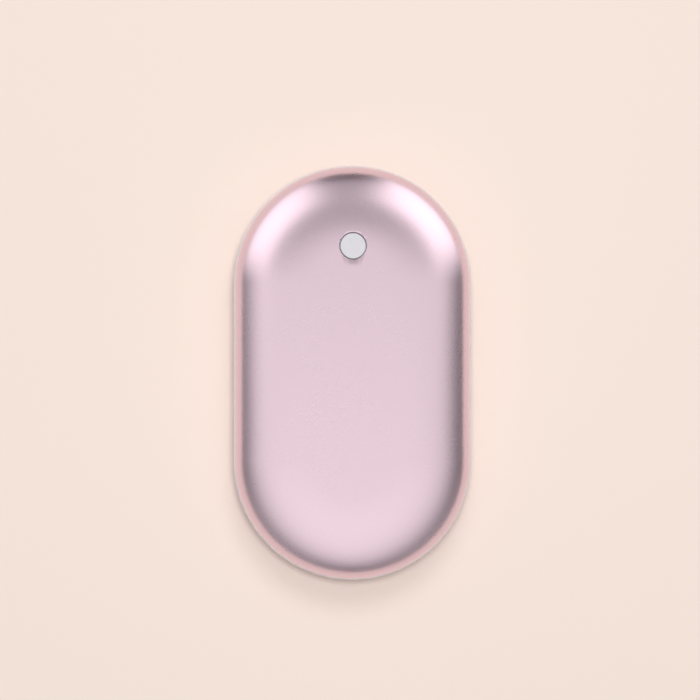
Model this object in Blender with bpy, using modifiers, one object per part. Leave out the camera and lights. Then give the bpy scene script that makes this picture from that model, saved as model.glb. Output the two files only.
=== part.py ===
"""Rechargeable hand warmer: a pebble of two domed aluminium shells on a plastic band, with a lit push button.

It lies on its back. +Z points out of the button face, +Y to the button end and X across, and the
origin is on the floor under its middle. Heights called "over the mid plane" are measured away from
the plane that splits the pebble into a front half (side +1) and a rear half (side -1).

Whatever runs round the pebble is made as one quarter of a stadium: a section turns about the arc
centre of the round end, then runs straight to the middle, and two mirror planes complete it.
"""

import math

import bmesh
import bpy
from mathutils import Matrix, Vector

MM = 0.001

# Overall form
shell_length = 100 * MM
shell_width = 57 * MM
body_height = 27 * MM
band_height = 8 * MM

# Clearances
seat_gap = 0.3 * MM
seam_gap = 0.2 * MM
solder_gap = 0.1 * MM
slide_gap = 0.25 * MM
thread_gap = 0.15 * MM
overrun = 2 * MM
weld_distance = 0.01 * MM

# Domed shells: flat crown, then a superellipse down to the rim
shell_wall = 0.8 * MM
crown_reach = 8 * MM
dome_power = 2.6
dome_steps = 8
turn_steps = 8

# Mid frame: band between the shells, tongues inside them
band_proud = 0.3 * MM
band_round = 0.8 * MM
band_round_steps = 3
tongue_height = 1.3 * MM
tongue_wall = 1.4 * MM
lug_radius = 2.1 * MM
web_wall = 1.4 * MM
web_drop = 0.5 * MM
cell_rib_height = 6 * MM
cell_rib_share = 0.54
port_plate_wall = 1.45 * MM

# Inner half-cases
liner_wall = 1.2 * MM
post_radius = 2.9 * MM
boss_radius = 2.1 * MM
guide_wall = 1 * MM
guide_recess = 0.2 * MM
support_radius = 1.6 * MM
support_back = 1.8 * MM

# Heating films
heater_thickness = 0.25 * MM
heater_margin = 8.5 * MM
heater_eye_radius = 5 * MM

# Cells, tape and foam
cell_side_room = 6 * MM
cell_corner = 3 * MM
cell_edge = 0.9 * MM
corner_steps = 3
edge_steps = 2
tape_thickness = 0.2 * MM
tape_inset = 2 * MM
foam_thickness = 2.8 * MM
foam_spill = 4 * MM
foam_inset = 4.9 * MM
foam_corner = 3 * MM

# Protection circuit on the cells' end
protection_width = 32 * MM
protection_thickness = 0.8 * MM
protection_height = 5 * MM
protection_chip_width = 3 * MM
protection_chip_thickness = 0.9 * MM
protection_chip_height = 1.8 * MM

# Main board
board_thickness = 1.2 * MM
board_overhang = 10.5 * MM
board_side_room = 8 * MM
board_setback = 1.9 * MM
board_screw_inset = 3.4 * MM
board_screw_advance = 7.6 * MM

# Push button and its switch
button_inset = 19.6 * MM
button_travel = 0.4 * MM
cap_radius = 3.075 * MM
cap_edge = 0.3 * MM
cap_edge_steps = 3
cap_sides = 32
flange_radius = 4.6 * MM
flange_thickness = 1.2 * MM
switch_side = 6 * MM
switch_height_share = 0.7
plunger_radius = 1.75 * MM
plunger_grip_share = 0.57
plunger_sides = 20

# Lamps round the switch
led_count = 4
led_width = 0.8 * MM
led_length = 1.6 * MM
led_height = 0.8 * MM
led_ring = 3.75 * MM

# Power-bank output socket (type A)
usb_a_width = 13.1 * MM
usb_a_length = 14 * MM
usb_a_height = 5.7 * MM
usb_a_place = -7.2 * MM
usb_a_corner = 0.7 * MM
usb_a_tongue_room = 0.7 * MM
usb_a_tongue_inset = 1.9 * MM
usb_a_tongue_thickness = 1.84 * MM
usb_a_tongue_drop = 1 * MM
usb_a_base_length = 2.6 * MM
usb_a_slot_width = 1.6 * MM
usb_a_slot_length = 5 * MM
usb_a_slot_spread = 3 * MM
usb_a_slot_place = 5 * MM
contact_width = 1 * MM
contact_inset = 1.6 * MM
contact_thickness = 0.15 * MM
contact_spread_shares = (-1, -0.286, 0.286, 1)
contact_margin = 2.05 * MM

# Charging socket (type C)
usb_c_width = 8.94 * MM
usb_c_length = 7.3 * MM
usb_c_height = 3.26 * MM
usb_c_place = 7.4 * MM
usb_c_corner = 1.6 * MM
usb_c_tongue_room = 0.825 * MM
usb_c_tongue_inset = 0.85 * MM
usb_c_tongue_thickness = 0.7 * MM
usb_c_base_length = 1.4 * MM

# Both sockets
socket_wall = 0.3 * MM
socket_corner_steps = 3
mouth_inset = 0.3 * MM
window_flare = 0.3 * MM
window_flare_length = 3.8 * MM

# Parts soldered to the top of the main board
inductor_radius = 3.2 * MM
inductor_height_share = 0.45
inductor_room = 0.9 * MM
chip_side = 5 * MM
chip_height = 1.2 * MM
chip_spread_share = 0.583
chip_setback = 9.1 * MM
mosfet_width = 3 * MM
mosfet_length = 1.6 * MM
mosfet_height = 1.1 * MM
mosfet_setback = 4.4 * MM
capacitor_radius = 1.6 * MM
capacitor_height_share = 0.55
capacitor_spread = 6 * MM
capacitor_advance = 4.7 * MM
round_sides = 16

# Wires
lead_radius = 0.5 * MM
lead_spread = 4 * MM
lead_reach = 1.4 * MM
lead_bend = 2 * MM
lead_bend_steps = 5
heater_lead_radius = 0.4 * MM
heater_lead_spread = 9 * MM
heater_lead_advance = 1.7 * MM
wire_slack = 0.8 * MM
wire_steps = 6
wire_hole_radius = 0.9 * MM

# Temperature probe
probe_width = 2.4 * MM
probe_length = 1.6 * MM
probe_height = 1 * MM
probe_advance = 2.1 * MM

# Screws
screw_head_radius = 1.6 * MM
screw_head_height = 1.2 * MM
screw_shaft_radius = 0.9 * MM
screw_sides = 16
screw_tip_room = 0.4 * MM
side_screw_inset = 5.4 * MM
side_screw_advance = 4.1 * MM
end_screw_spread = 8 * MM
end_screw_inset = 7 * MM
board_screw_length = 5.5 * MM

smooth_angle = math.radians(35)

# Worked out from the sizes above: the case
round_end = shell_width / 2
arc_centre = (shell_length - shell_width) / 2
mid_height = body_height / 2
band_edge = band_height / 2
shell_rim = band_edge + seam_gap
dome_width = round_end - crown_reach
dome_height = mid_height - shell_rim
frame_outer = round_end + band_proud
tongue_outer = round_end - shell_wall - seat_gap
tongue_inner = tongue_outer - tongue_wall
tongue_top = band_edge + tongue_height
heater_reach = round_end - heater_margin
heater_depth = shell_wall + seat_gap
liner_depth = heater_depth + heater_thickness + seat_gap
liner_rim = tongue_top + seat_gap
liner_inside = mid_height - liner_depth - liner_wall

# What stands inside the two sockets
usb_a_tongue_width = usb_a_width - 2 * (socket_wall + usb_a_tongue_room)
usb_a_tongue_length = usb_a_length - socket_wall - seat_gap - usb_a_base_length - usb_a_tongue_inset
contact_length = usb_a_tongue_length - solder_gap - contact_inset
contact_spread = usb_a_tongue_width / 2 - contact_margin
usb_c_tongue_width = usb_c_width - 2 * (socket_wall + usb_c_tongue_room)
usb_c_tongue_length = usb_c_length - socket_wall - seat_gap - usb_c_base_length - usb_c_tongue_inset

# The small parts, each (across, along, up)
usb_a_size = Vector((usb_a_width, usb_a_length, usb_a_height))
usb_a_tongue_size = Vector((usb_a_tongue_width, usb_a_tongue_length, usb_a_tongue_thickness))
contact_size = Vector((contact_width, contact_length, contact_thickness))
usb_c_size = Vector((usb_c_width, usb_c_length, usb_c_height))
usb_c_tongue_size = Vector((usb_c_tongue_width, usb_c_tongue_length, usb_c_tongue_thickness))
protection_chip_size = Vector((protection_chip_width, protection_chip_thickness, protection_chip_height))
chip_size = Vector((chip_side, chip_side, chip_height))
mosfet_size = Vector((mosfet_width, mosfet_length, mosfet_height))
led_size = Vector((led_width, led_length, led_height))
probe_size = Vector((probe_width, probe_length, probe_height))

# The board and what stands on it
button_place = shell_length / 2 - button_inset
usb_a_reach = abs(usb_a_place) + usb_a_width / 2
socket_mouth = arc_centre + math.sqrt(frame_outer**2 - usb_a_reach**2) - mouth_inset
port_plate_width = 2 * (usb_a_reach + seat_gap + port_plate_wall)
board_front = socket_mouth - board_setback
board_back = button_place - board_overhang
board_middle = (board_back + board_front) / 2
board_width = 2 * (tongue_inner - board_side_room)
chip_spread = chip_spread_share * board_width / 2
board_bottom = mid_height + usb_a_height / 2 + solder_gap
board_top = board_bottom + board_thickness
part_low = board_top + solder_gap
part_room = mid_height + liner_inside - part_low
heater_lead_place = board_back + heater_lead_advance
probe_place = board_back + probe_advance

# The button over its switch
button_hole_radius = cap_radius + slide_gap
guide_ceiling = mid_height + liner_inside + guide_recess
guide_radius = flange_radius + seat_gap
guide_outer = guide_radius + guide_wall
flange_top = guide_ceiling - seat_gap
flange_bottom = flange_top - flange_thickness
plunger_top = flange_bottom - solder_gap
switch_height = switch_height_share * (plunger_top - part_low)
switch_top = part_low + switch_height
plunger_depth = plunger_grip_share * (switch_height - button_travel - seat_gap)

# The screws
shaft_hole_radius = screw_shaft_radius + seat_gap
pilot_hole_radius = screw_shaft_radius + thread_gap
side_screw = Vector((tongue_inner - side_screw_inset, board_back + side_screw_advance))
end_screw = Vector((end_screw_spread, end_screw_inset - arc_centre - tongue_inner))
case_screws = [Vector((side * screw.x, screw.y)) for screw in (side_screw, end_screw) for side in (1, -1)]
board_screw_place = board_back + board_screw_advance
board_screw_spread = board_width / 2 - board_screw_inset
board_screws = [Vector((side * board_screw_spread, board_screw_place)) for side in (-1, 1)]

# The cells, in the room that the posts, the board and the half-cases leave
cell_end = board_back - protection_thickness - 2 * seat_gap
cell_back = end_screw.y + post_radius + seat_gap
cell_length = cell_end - cell_back
cell_middle = (cell_end + cell_back) / 2
cell_width = 2 * (tongue_inner - cell_side_room)
cell_low = tape_thickness / 2 + seat_gap
foam_high = liner_inside - seat_gap
foam_low = foam_high - foam_thickness
cell_high = foam_low - seat_gap


def clear_scene():
    """Remove whatever the scene holds, so that the hand warmer stands alone."""
    for obj in list(bpy.data.objects):
        bpy.data.objects.remove(obj, do_unlink=True)


def collection(name):
    """A new collection in the scene."""
    made = bpy.data.collections.new(name)
    bpy.context.scene.collection.children.link(made)
    return made


def finish(name, colour, roughness, metallic=0.0):
    """A plain Principled material."""
    made = bpy.data.materials.new(name)
    made.use_nodes = True
    shader = made.node_tree.nodes["Principled BSDF"]
    shader.inputs["Base Color"].default_value = (*colour, 1)
    shader.inputs["Roughness"].default_value = roughness
    shader.inputs["Metallic"].default_value = metallic
    made.diffuse_color = (*colour, 1)
    return made


def place(name, bm, group, look=None, location=(0, 0, 0)):
    """Turn a bmesh into a named object in a collection. Cutters have no look and stay out of a render."""
    mesh = bpy.data.meshes.new(name)
    bm.to_mesh(mesh)
    bm.free()
    mesh.shade_smooth()
    mesh.set_sharp_from_angle(angle=smooth_angle)
    obj = bpy.data.objects.new(name, mesh)
    obj.location = location
    group.objects.link(obj)
    if look:
        mesh.materials.append(look)
    else:
        obj.hide_render = True
        obj.display_type = "WIRE"
    return obj


def boolean(obj, tool, operation):
    """Add one Boolean step to an object."""
    step = obj.modifiers.new(tool.name, "BOOLEAN")
    step.operation = operation
    step.solver = "EXACT"
    step.object = tool


def cut(obj, *tools):
    """Take the tools out of the object."""
    for tool in tools:
        boolean(obj, tool, "DIFFERENCE")


def unite(obj, *tools):
    """Fuse the tools with the object."""
    for tool in tools:
        boolean(obj, tool, "UNION")


def block_mesh(size, corner=0, steps=1, axis=2):
    """A box centred on the origin, with its four edges along one axis rounded."""
    bm = bmesh.new()
    bmesh.ops.create_cube(bm, size=1, matrix=Matrix.Diagonal((*size, 1)))
    if corner:
        along = [edge for edge in bm.edges if abs(edge.verts[0].co[axis] - edge.verts[1].co[axis]) > 0]
        bmesh.ops.bevel(
            bm, geom=along, offset=corner, offset_type="OFFSET", segments=steps, profile=0.5, affect="EDGES"
        )
    return bm


def rod_mesh(radius, height, sides):
    """An upright cylinder centred on the origin."""
    bm = bmesh.new()
    bmesh.ops.create_cone(bm, cap_ends=True, segments=sides, radius1=radius, radius2=radius, depth=height)
    return bm


def rod(name, group, radius, x, y, low, high, sides=round_sides, look=None):
    """An upright cylinder from one height to another."""
    bm = rod_mesh(radius, high - low, sides)
    return place(name, bm, group, look, (x, y, (low + high) / 2))


def block(name, group, size, centre, look=None, corner=0, steps=1):
    """A box at its centre, with rounded upright edges if a corner is given."""
    return place(name, block_mesh(size, corner, steps), group, look, centre)


def turned(name, group, profile, sides, look, location):
    """A solid turned about Z, from (radius, height) points that run down the outer side."""
    bm = bmesh.new()
    points = [bm.verts.new((radius, 0, height)) for radius, height in profile]
    for upper, lower in zip(points, points[1:]):
        bm.edges.new((upper, lower))
    obj = place(name, bm, group, look, location)
    screw = obj.modifiers.new("turn", "SCREW")
    screw.steps = sides
    screw.render_steps = sides
    screw.use_merge_vertices = True
    screw.merge_threshold = weld_distance
    return obj


def wire(name, group, points, radius, look):
    """A round wire along a run of points, closed at both ends."""
    curve = bpy.data.curves.new(name, "CURVE")
    curve.dimensions = "3D"
    curve.bevel_depth = radius
    curve.bevel_resolution = 2
    curve.use_fill_caps = True
    spline = curve.splines.new("POLY")
    spline.points.add(len(points) - 1)
    for knot, point in zip(spline.points, points):
        knot.co = (*point, 1)
    curve.materials.append(look)
    obj = bpy.data.objects.new(name, curve)
    group.objects.link(obj)
    return obj


def dome_point(share, depth):
    """Reach from the arc centre and height over the mid plane of a dome point, from crown (0) to rim (1).

    The depth is how far the point lies under the shell's outer surface, square to it.
    """
    angle = share * math.pi / 2
    across = math.sin(angle) ** (2 / dome_power)
    up = math.cos(angle) ** (2 / dome_power)
    outer = Vector((crown_reach + dome_width * across, shell_rim + dome_height * up))
    steepness = dome_power - 1
    outward = Vector((across**steepness / dome_width, up**steepness / dome_height)).normalized()
    return outer - depth * outward


def dome_section(depth):
    """Half section of the dome from the middle of its crown to its rim."""
    curve = [dome_point(step / dome_steps, depth) for step in range(dome_steps + 1)]
    return [Vector((0, curve[0].y)), *curve]


def trimmed(section, axis, limit):
    """The first stretch of a section, up to where it crosses a limit in reach (axis 0) or height (axis 1)."""
    kept = [section[0]]
    for last, point in zip(section, section[1:]):
        if (last[axis] - limit) * (point[axis] - limit) < 0:
            share = (limit - last[axis]) / (point[axis] - last[axis])
            kept.append(last.lerp(point, share))
            break
        kept.append(point)
    return kept


def dome_level(reach, depth):
    """Height over the mid plane of the dome at a reach."""
    return trimmed(dome_section(depth), 0, reach)[-1].y


def case_screw_ends():
    """Heights of the case screws' seat and of the bottom of their pilot holes.

    The heads lie level with the outside of the rear half-case, and a full wall of the front one covers the tips.
    """
    reach = max(math.hypot(centre.x, max(0, abs(centre.y) - arc_centre)) for centre in case_screws)
    seat = mid_height - dome_level(reach + screw_head_radius, liner_depth) + screw_head_height + solder_gap
    end = mid_height + dome_level(reach + pilot_hole_radius, liner_depth) - liner_wall
    return seat, end


def pebble_mesh(section, side=1, closed=False):
    """A quarter of the stadium form that a section of (reach, height over the mid plane) sweeps out."""
    bm = bmesh.new()
    points = [bm.verts.new((reach, arc_centre, mid_height + side * height)) for reach, height in section]
    edges = [bm.edges.new(pair) for pair in zip(points, points[1:])]
    if closed:
        edges.append(bm.edges.new((points[-1], points[0])))
    straight = bmesh.ops.extrude_edge_only(bm, edges=edges)["geom"]
    ends = [item for item in straight if isinstance(item, bmesh.types.BMVert)]
    bmesh.ops.translate(bm, verts=ends, vec=(0, -arc_centre, 0))
    bmesh.ops.spin(
        bm, geom=points + edges, cent=(0, arc_centre, 0), axis=(0, 0, 1), angle=math.pi / 2, steps=turn_steps
    )
    bmesh.ops.remove_doubles(bm, verts=bm.verts, dist=weld_distance)
    bmesh.ops.recalc_face_normals(bm, faces=bm.faces)
    outermost = max(bm.faces, key=lambda face: face.calc_center_median().x)
    if outermost.normal.x < 0:
        bmesh.ops.reverse_faces(bm, faces=bm.faces)
    return bm


def pebble(name, group, section, side=1, closed=False, wall=0, look=None):
    """The whole stadium form of a section, given a wall inwards if it is an open surface."""
    obj = place(name, pebble_mesh(section, side, closed), group, look)
    mirror = obj.modifiers.new("mirror", "MIRROR")
    mirror.use_axis = (True, True, False)
    mirror.merge_threshold = weld_distance
    if wall:
        solid = obj.modifiers.new("wall", "SOLIDIFY")
        solid.thickness = wall
        solid.offset = -1
        solid.use_even_offset = True
    return obj


def make_shell(name, side, parts, look):
    """One domed aluminium shell."""
    return pebble(name, parts, dome_section(0), side, wall=shell_wall, look=look)


def make_heater(name, side, parts, look):
    """A heating film that follows the inside of its shell."""
    section = trimmed(dome_section(heater_depth), 0, heater_reach)
    return pebble(name, parts, section, side, wall=heater_thickness, look=look)


def post(name, cutters, core, centre, radius, low, side):
    """An upright post that runs from a height over the mid plane into the wall of an inner half-case."""
    ends = sorted((mid_height + side * low, mid_height + side * mid_height))
    obj = rod(name, cutters, radius, *centre, *ends)
    boolean(obj, core, "INTERSECT")
    return obj


def make_liner(name, side, parts, cutters, look, posts):
    """An inner half-case: a thinner dome with the posts that its place calls for, each (centre, radius, low)."""
    section = trimmed(dome_section(liner_depth), 1, liner_rim)
    liner = pebble(name, parts, section, side, wall=liner_wall, look=look)
    inside = trimmed(dome_section(liner_depth + liner_wall / 2), 1, liner_rim)
    inside += [Vector((inside[-1].x, -band_edge)), Vector((0, -band_edge))]
    core = pebble(name + "_core", cutters, inside, side)
    for number, (centre, radius, low) in enumerate(posts, 1):
        unite(liner, post(f"{name}_post_{number}", cutters, core, centre, radius, low, side))
    return liner


def make_front_liner(parts, cutters, look):
    """The front half-case, with the case posts, the board bosses and the guide of the button."""
    posts = [(centre, post_radius, liner_rim) for centre in case_screws]
    board_low = board_top + seat_gap - mid_height
    posts += [(centre, boss_radius, board_low) for centre in board_screws]
    button = Vector((0, button_place))
    posts.append((button, guide_outer, board_low))
    liner = make_liner("front_liner", 1, parts, cutters, look, posts)
    low = board_top - overrun
    top = body_height + overrun
    cut(
        liner,
        rod("guide_bore", cutters, guide_radius, *button, low, guide_ceiling, cap_sides),
        rod("guide_hole", cutters, button_hole_radius + slide_gap, *button, low, top, cap_sides),
        block("probe_hole", cutters, probe_hole_size(), (0, probe_place, mid_height + liner_inside)),
    )
    seat, end = case_screw_ends()
    for number, centre in enumerate(case_screws, 1):
        cut(liner, rod(f"case_pilot_{number}", cutters, pilot_hole_radius, *centre, mid_height, end))
    board_tip = board_bottom + board_screw_length + screw_tip_room
    for number, centre in enumerate(board_screws, 1):
        cut(liner, rod(f"board_pilot_{number}", cutters, pilot_hole_radius, *centre, low, board_tip))
    for number, spread in enumerate((-heater_lead_spread, heater_lead_spread), 1):
        hole = (wire_hole_radius, spread, heater_lead_place, mid_height, top)
        cut(liner, rod(f"front_wire_hole_{number}", cutters, *hole))


def probe_hole_size():
    """The opening in the front half-case round the temperature probe."""
    room = 2 * seat_gap
    return Vector((probe_size.x + room, probe_size.y + room, liner_wall * 2 + overrun))


def make_rear_liner(parts, cutters, look):
    """The rear half-case, with counterbored case posts and the post that backs the board under the switch."""
    posts = [(centre, post_radius, liner_rim) for centre in case_screws]
    support = Vector((0, button_place - support_back))
    posts.append((support, support_radius, mid_height - board_bottom + seat_gap))
    liner = make_liner("rear_liner", -1, parts, cutters, look, posts)
    head_radius = screw_head_radius + seat_gap
    seat, end = case_screw_ends()
    for number, centre in enumerate(case_screws, 1):
        cut(
            liner,
            rod(f"head_recess_{number}", cutters, head_radius, *centre, -overrun, seat),
            rod(f"shaft_hole_{number}", cutters, shaft_hole_radius, *centre, -overrun, mid_height),
        )
    for number, spread in enumerate((-heater_lead_spread, heater_lead_spread), 1):
        hole = (wire_hole_radius, spread, heater_lead_place, -overrun, mid_height)
        cut(liner, rod(f"rear_wire_hole_{number}", cutters, *hole))


def frame_section():
    """The closed section of the mid frame: rounded band outside, straight wall inside, a tongue at each edge."""
    upper = []
    for step in range(band_round_steps + 1):
        angle = step / band_round_steps * math.pi / 2
        reach = frame_outer - band_round + band_round * math.cos(angle)
        upper.append(Vector((reach, band_edge - band_round + band_round * math.sin(angle))))
    upper += [Vector((tongue_outer, band_edge)), Vector((tongue_outer, tongue_top)), Vector((tongue_inner, tongue_top))]
    lower = [Vector((point.x, -point.y)) for point in reversed(upper)]
    return upper + lower


def window(name, size, place_x, middle, cutters):
    """The cutter of one port window: straight round the socket, then flared to the outside of the band."""
    width = size.x + 2 * seat_gap
    height = size.z + 2 * seat_gap
    straight = block_mesh((width, tongue_inner, height))
    bmesh.ops.translate(straight, verts=straight.verts, vec=(0, -tongue_inner / 2, 0))
    outer = [vert for vert in straight.verts if vert.co.y >= 0]
    mouth = [face for face in straight.faces if all(vert in outer for vert in face.verts)]
    flare = bmesh.ops.extrude_face_region(straight, geom=mouth)["geom"]
    bmesh.ops.delete(straight, geom=mouth, context="FACES_ONLY")
    rim = [item for item in flare if isinstance(item, bmesh.types.BMVert)]
    bmesh.ops.translate(straight, verts=rim, vec=(0, window_flare_length + overrun, 0))
    grown = 2 * window_flare * (window_flare_length + overrun) / window_flare_length
    stretch = ((width + grown) / width, 1, (height + grown) / height)
    bmesh.ops.scale(straight, verts=rim, vec=stretch)
    return place(name, straight, cutters, location=(place_x, socket_mouth, middle))


def make_mid_frame(parts, cutters, look):
    """The band, with its screw lugs, the ribs that hold the cells and the two port windows."""
    frame = pebble("mid_frame", parts, frame_section(), closed=True, look=look)
    wall_middle = (frame_outer + tongue_inner) / 2
    low = mid_height - tongue_top
    high = mid_height + tongue_top
    for number, centre in enumerate(case_screws, 1):
        arc = Vector((0, math.copysign(arc_centre, centre.y)))
        outward = centre - arc
        size = (wall_middle - outward.length, web_wall, 2 * (tongue_top - web_drop))
        middle = arc + outward.normalized() * (wall_middle + outward.length) / 2
        web = block(f"web_{number}", cutters, size, (*middle, mid_height))
        web.rotation_euler.z = math.atan2(outward.y, outward.x)
        unite(frame, web, rod(f"lug_{number}", cutters, lug_radius, *centre, low, high))
        hole = (shaft_hole_radius, *centre, low - overrun, high + overrun)
        cut(frame, rod(f"lug_hole_{number}", cutters, *hole))
    rib_start = cell_width / 2 + seat_gap
    rib_size = (wall_middle - rib_start, web_wall, cell_rib_height)
    for side in (-1, 1):
        for step in (-1, 1):
            y = cell_middle + step * cell_rib_share * cell_length / 2
            middle = (side * (wall_middle + rib_start) / 2, y, mid_height)
            unite(frame, block(f"cell_rib_{side}_{step}", cutters, rib_size, middle))
    end_start = seat_gap - cell_back
    end_stop = arc_centre + wall_middle
    end_size = (web_wall, end_stop - end_start, cell_rib_height)
    unite(frame, block("end_rib", cutters, end_size, (0, -(end_start + end_stop) / 2, mid_height)))
    plate_back = board_front + seat_gap
    plate_front = arc_centre + frame_outer
    plate_size = (port_plate_width, plate_front - plate_back, 2 * (tongue_top - web_drop))
    plate = block("port_plate", cutters, plate_size, (0, (plate_back + plate_front) / 2, mid_height))
    boolean(plate, rod("port_arc", cutters, wall_middle, 0, arc_centre, low, high, turn_steps * 4), "INTERSECT")
    unite(frame, plate)
    cut(
        frame,
        window("usb_a_window", usb_a_size, usb_a_place, mid_height, cutters),
        window("usb_c_window", usb_c_size, usb_c_place, usb_c_middle(), cutters),
    )


def usb_c_middle():
    """Height of the charging socket's middle: both sockets hang from the same face of the board."""
    return board_bottom - solder_gap - usb_c_size.z / 2


def make_cells(parts, look, tape_look, foam_look):
    """Two pouch cells back to back on a sheet of tape, each with a foam pad towards its half-case."""
    for name, side in (("front", 1), ("rear", -1)):
        middle = mid_height + side * (cell_low + cell_high) / 2
        size = (cell_width, cell_length, cell_high - cell_low)
        centre = (0, cell_middle, middle)
        cell = block(f"cell_{name}", parts, size, centre, look, cell_corner, corner_steps)
        edge = cell.modifiers.new("edge", "BEVEL")
        edge.width = cell_edge
        edge.segments = edge_steps
        edge.limit_method = "ANGLE"
        edge.angle_limit = math.radians(60)
        foam_size = (2 * (crown_reach + foam_spill), cell_length - 2 * foam_inset, foam_thickness)
        foam_centre = (0, cell_middle, mid_height + side * (foam_low + foam_high) / 2)
        block(f"{name}_foam", parts, foam_size, foam_centre, foam_look, foam_corner, corner_steps)
    tape_size = (cell_width - 2 * tape_inset, cell_length - 2 * tape_inset, tape_thickness)
    block("cell_tape", parts, tape_size, (0, cell_middle, mid_height), tape_look)


def make_protection(parts, board_look, chip_look, red, black):
    """The protection circuit that stands on the cells' end, and its two leads up to the main board."""
    face = cell_end + seat_gap
    size = (protection_width, protection_thickness, protection_height)
    block("protection_board", parts, size, (0, face + protection_thickness / 2, mid_height), board_look)
    start = face + protection_thickness + solder_gap
    chip_centre = (0, start + protection_chip_size.y / 2, mid_height)
    block("protection_chip", parts, protection_chip_size, chip_centre, chip_look)
    end = board_bottom - solder_gap
    low = end - solder_gap - lead_bend
    bends = [step / lead_bend_steps * math.pi / 2 for step in range(lead_bend_steps + 1)]
    for name, spread, look in (("red", lead_spread, red), ("black", -lead_spread, black)):
        points = [(spread, start, low)]
        for angle in bends:
            run = start + lead_reach + lead_bend * math.sin(angle)
            points.append((spread, run, low + lead_bend * (1 - math.cos(angle))))
        points.append((spread, points[-1][1], end))
        wire(f"battery_lead_{name}", parts, points, lead_radius, look)


def make_main_board(parts, cutters, look):
    """The circuit board: a rectangle trimmed to the round end of the case, with its screw holes."""
    size = (board_width, board_front - board_back, board_thickness)
    middle = (board_bottom + board_top) / 2
    board = block("main_board", parts, size, (0, board_middle, middle), look)
    reach = tongue_inner - seat_gap
    arc = rod(
        "board_arc", cutters, reach, 0, arc_centre, board_bottom - overrun, board_top + overrun, turn_steps * 4
    )
    boolean(board, arc, "INTERSECT")
    for number, centre in enumerate(board_screws, 1):
        hole = (shaft_hole_radius, *centre, board_bottom - overrun, board_top + overrun)
        cut(board, rod(f"board_hole_{number}", cutters, *hole))


def make_board_parts(parts, chip_look, coil_look, capacitor_look):
    """What is soldered to the top of the board besides the switch and the lamps."""
    chip_y = board_front - chip_setback
    chip_middle = part_low + chip_size.z / 2
    block("control_chip", parts, chip_size, (chip_spread, chip_y, chip_middle), chip_look)
    block("charge_chip", parts, chip_size, (-chip_spread, chip_y, chip_middle), chip_look)
    capacitor_ends = (part_low, part_low + capacitor_height_share * part_room)
    for number, side in enumerate((-1, 1), 1):
        centre = (side * chip_spread, board_front - mosfet_setback, part_low + mosfet_size.z / 2)
        block(f"mosfet_{number}", parts, mosfet_size, centre, chip_look)
        spot = (side * capacitor_spread, board_back + capacitor_advance)
        rod(f"capacitor_{number}", parts, capacitor_radius, *spot, *capacitor_ends, look=capacitor_look)
    ends = (part_low, part_low + inductor_height_share * part_room)
    y = button_place + guide_outer + inductor_room + inductor_radius
    rod("boost_inductor", parts, inductor_radius, 0, y, *ends, look=coil_look)


def make_switch(parts, cutters, body_look, plunger_look):
    """The push switch under the button, with its plunger in a blind bore."""
    size = (switch_side, switch_side, switch_height)
    body = block("switch_body", parts, size, (0, button_place, part_low + switch_height / 2), body_look)
    floor = switch_top - plunger_depth - button_travel - seat_gap
    bore = (plunger_radius + slide_gap, 0, button_place, floor, switch_top + overrun)
    cut(body, rod("plunger_bore", cutters, *bore, sides=plunger_sides))
    height = plunger_top - switch_top + plunger_depth
    profile = ((0, 0), (plunger_radius, 0), (plunger_radius, -height), (0, -height))
    turned("switch_plunger", parts, profile, plunger_sides, plunger_look, (0, button_place, plunger_top))


def make_button_cap(parts, look):
    """The push button: a flat cap with a softened edge on a flange that can't leave its guide."""
    profile = [(0, 0)]
    for step in range(cap_edge_steps + 1):
        angle = step / cap_edge_steps * math.pi / 2
        radius = cap_radius - cap_edge + cap_edge * math.sin(angle)
        profile.append((radius, cap_edge * math.cos(angle) - cap_edge))
    shoulder = flange_top - body_height
    base = flange_bottom - body_height
    profile += [(cap_radius, shoulder), (flange_radius, shoulder), (flange_radius, base), (0, base)]
    turned("button_cap", parts, profile, cap_sides, look, (0, button_place, body_height))


def make_leds(parts, look):
    """The lamps in a ring round the switch, inside the button's guide."""
    for number in range(led_count):
        angle = number / led_count * 2 * math.pi
        x = led_ring * math.cos(angle)
        y = button_place + led_ring * math.sin(angle)
        led = block(f"led_{number + 1}", parts, led_size, (x, y, part_low + led_size.z / 2), look)
        led.rotation_euler.z = angle


def sleeve(name, parts, size, corner, centre, look):
    """The folded steel sleeve of a socket, open at its mouth."""
    bm = block_mesh(size, corner, socket_corner_steps, axis=1)
    mouth = max(bm.faces, key=lambda face: face.calc_center_median().y)
    bmesh.ops.delete(bm, geom=[mouth], context="FACES_ONLY")
    obj = place(name, bm, parts, look, centre)
    solid = obj.modifiers.new("wall", "SOLIDIFY")
    solid.thickness = socket_wall
    solid.offset = -1
    solid.use_even_offset = True
    return obj


def tongue(name, parts, cutters, size, base_size, back, centre, drop, look):
    """The plastic tongue of a socket, standing out of its base block."""
    base_centre = (centre.x, back + base_size[1] / 2, centre.z)
    obj = block(name, parts, base_size, base_centre, look)
    start = back + base_size[1] / 2
    end = back + base_size[1] + size.y
    blade_size = (size.x, end - start, size.z)
    blade_centre = (centre.x, (start + end) / 2, centre.z - drop)
    unite(obj, block(name + "_blade", cutters, blade_size, blade_centre))


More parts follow.
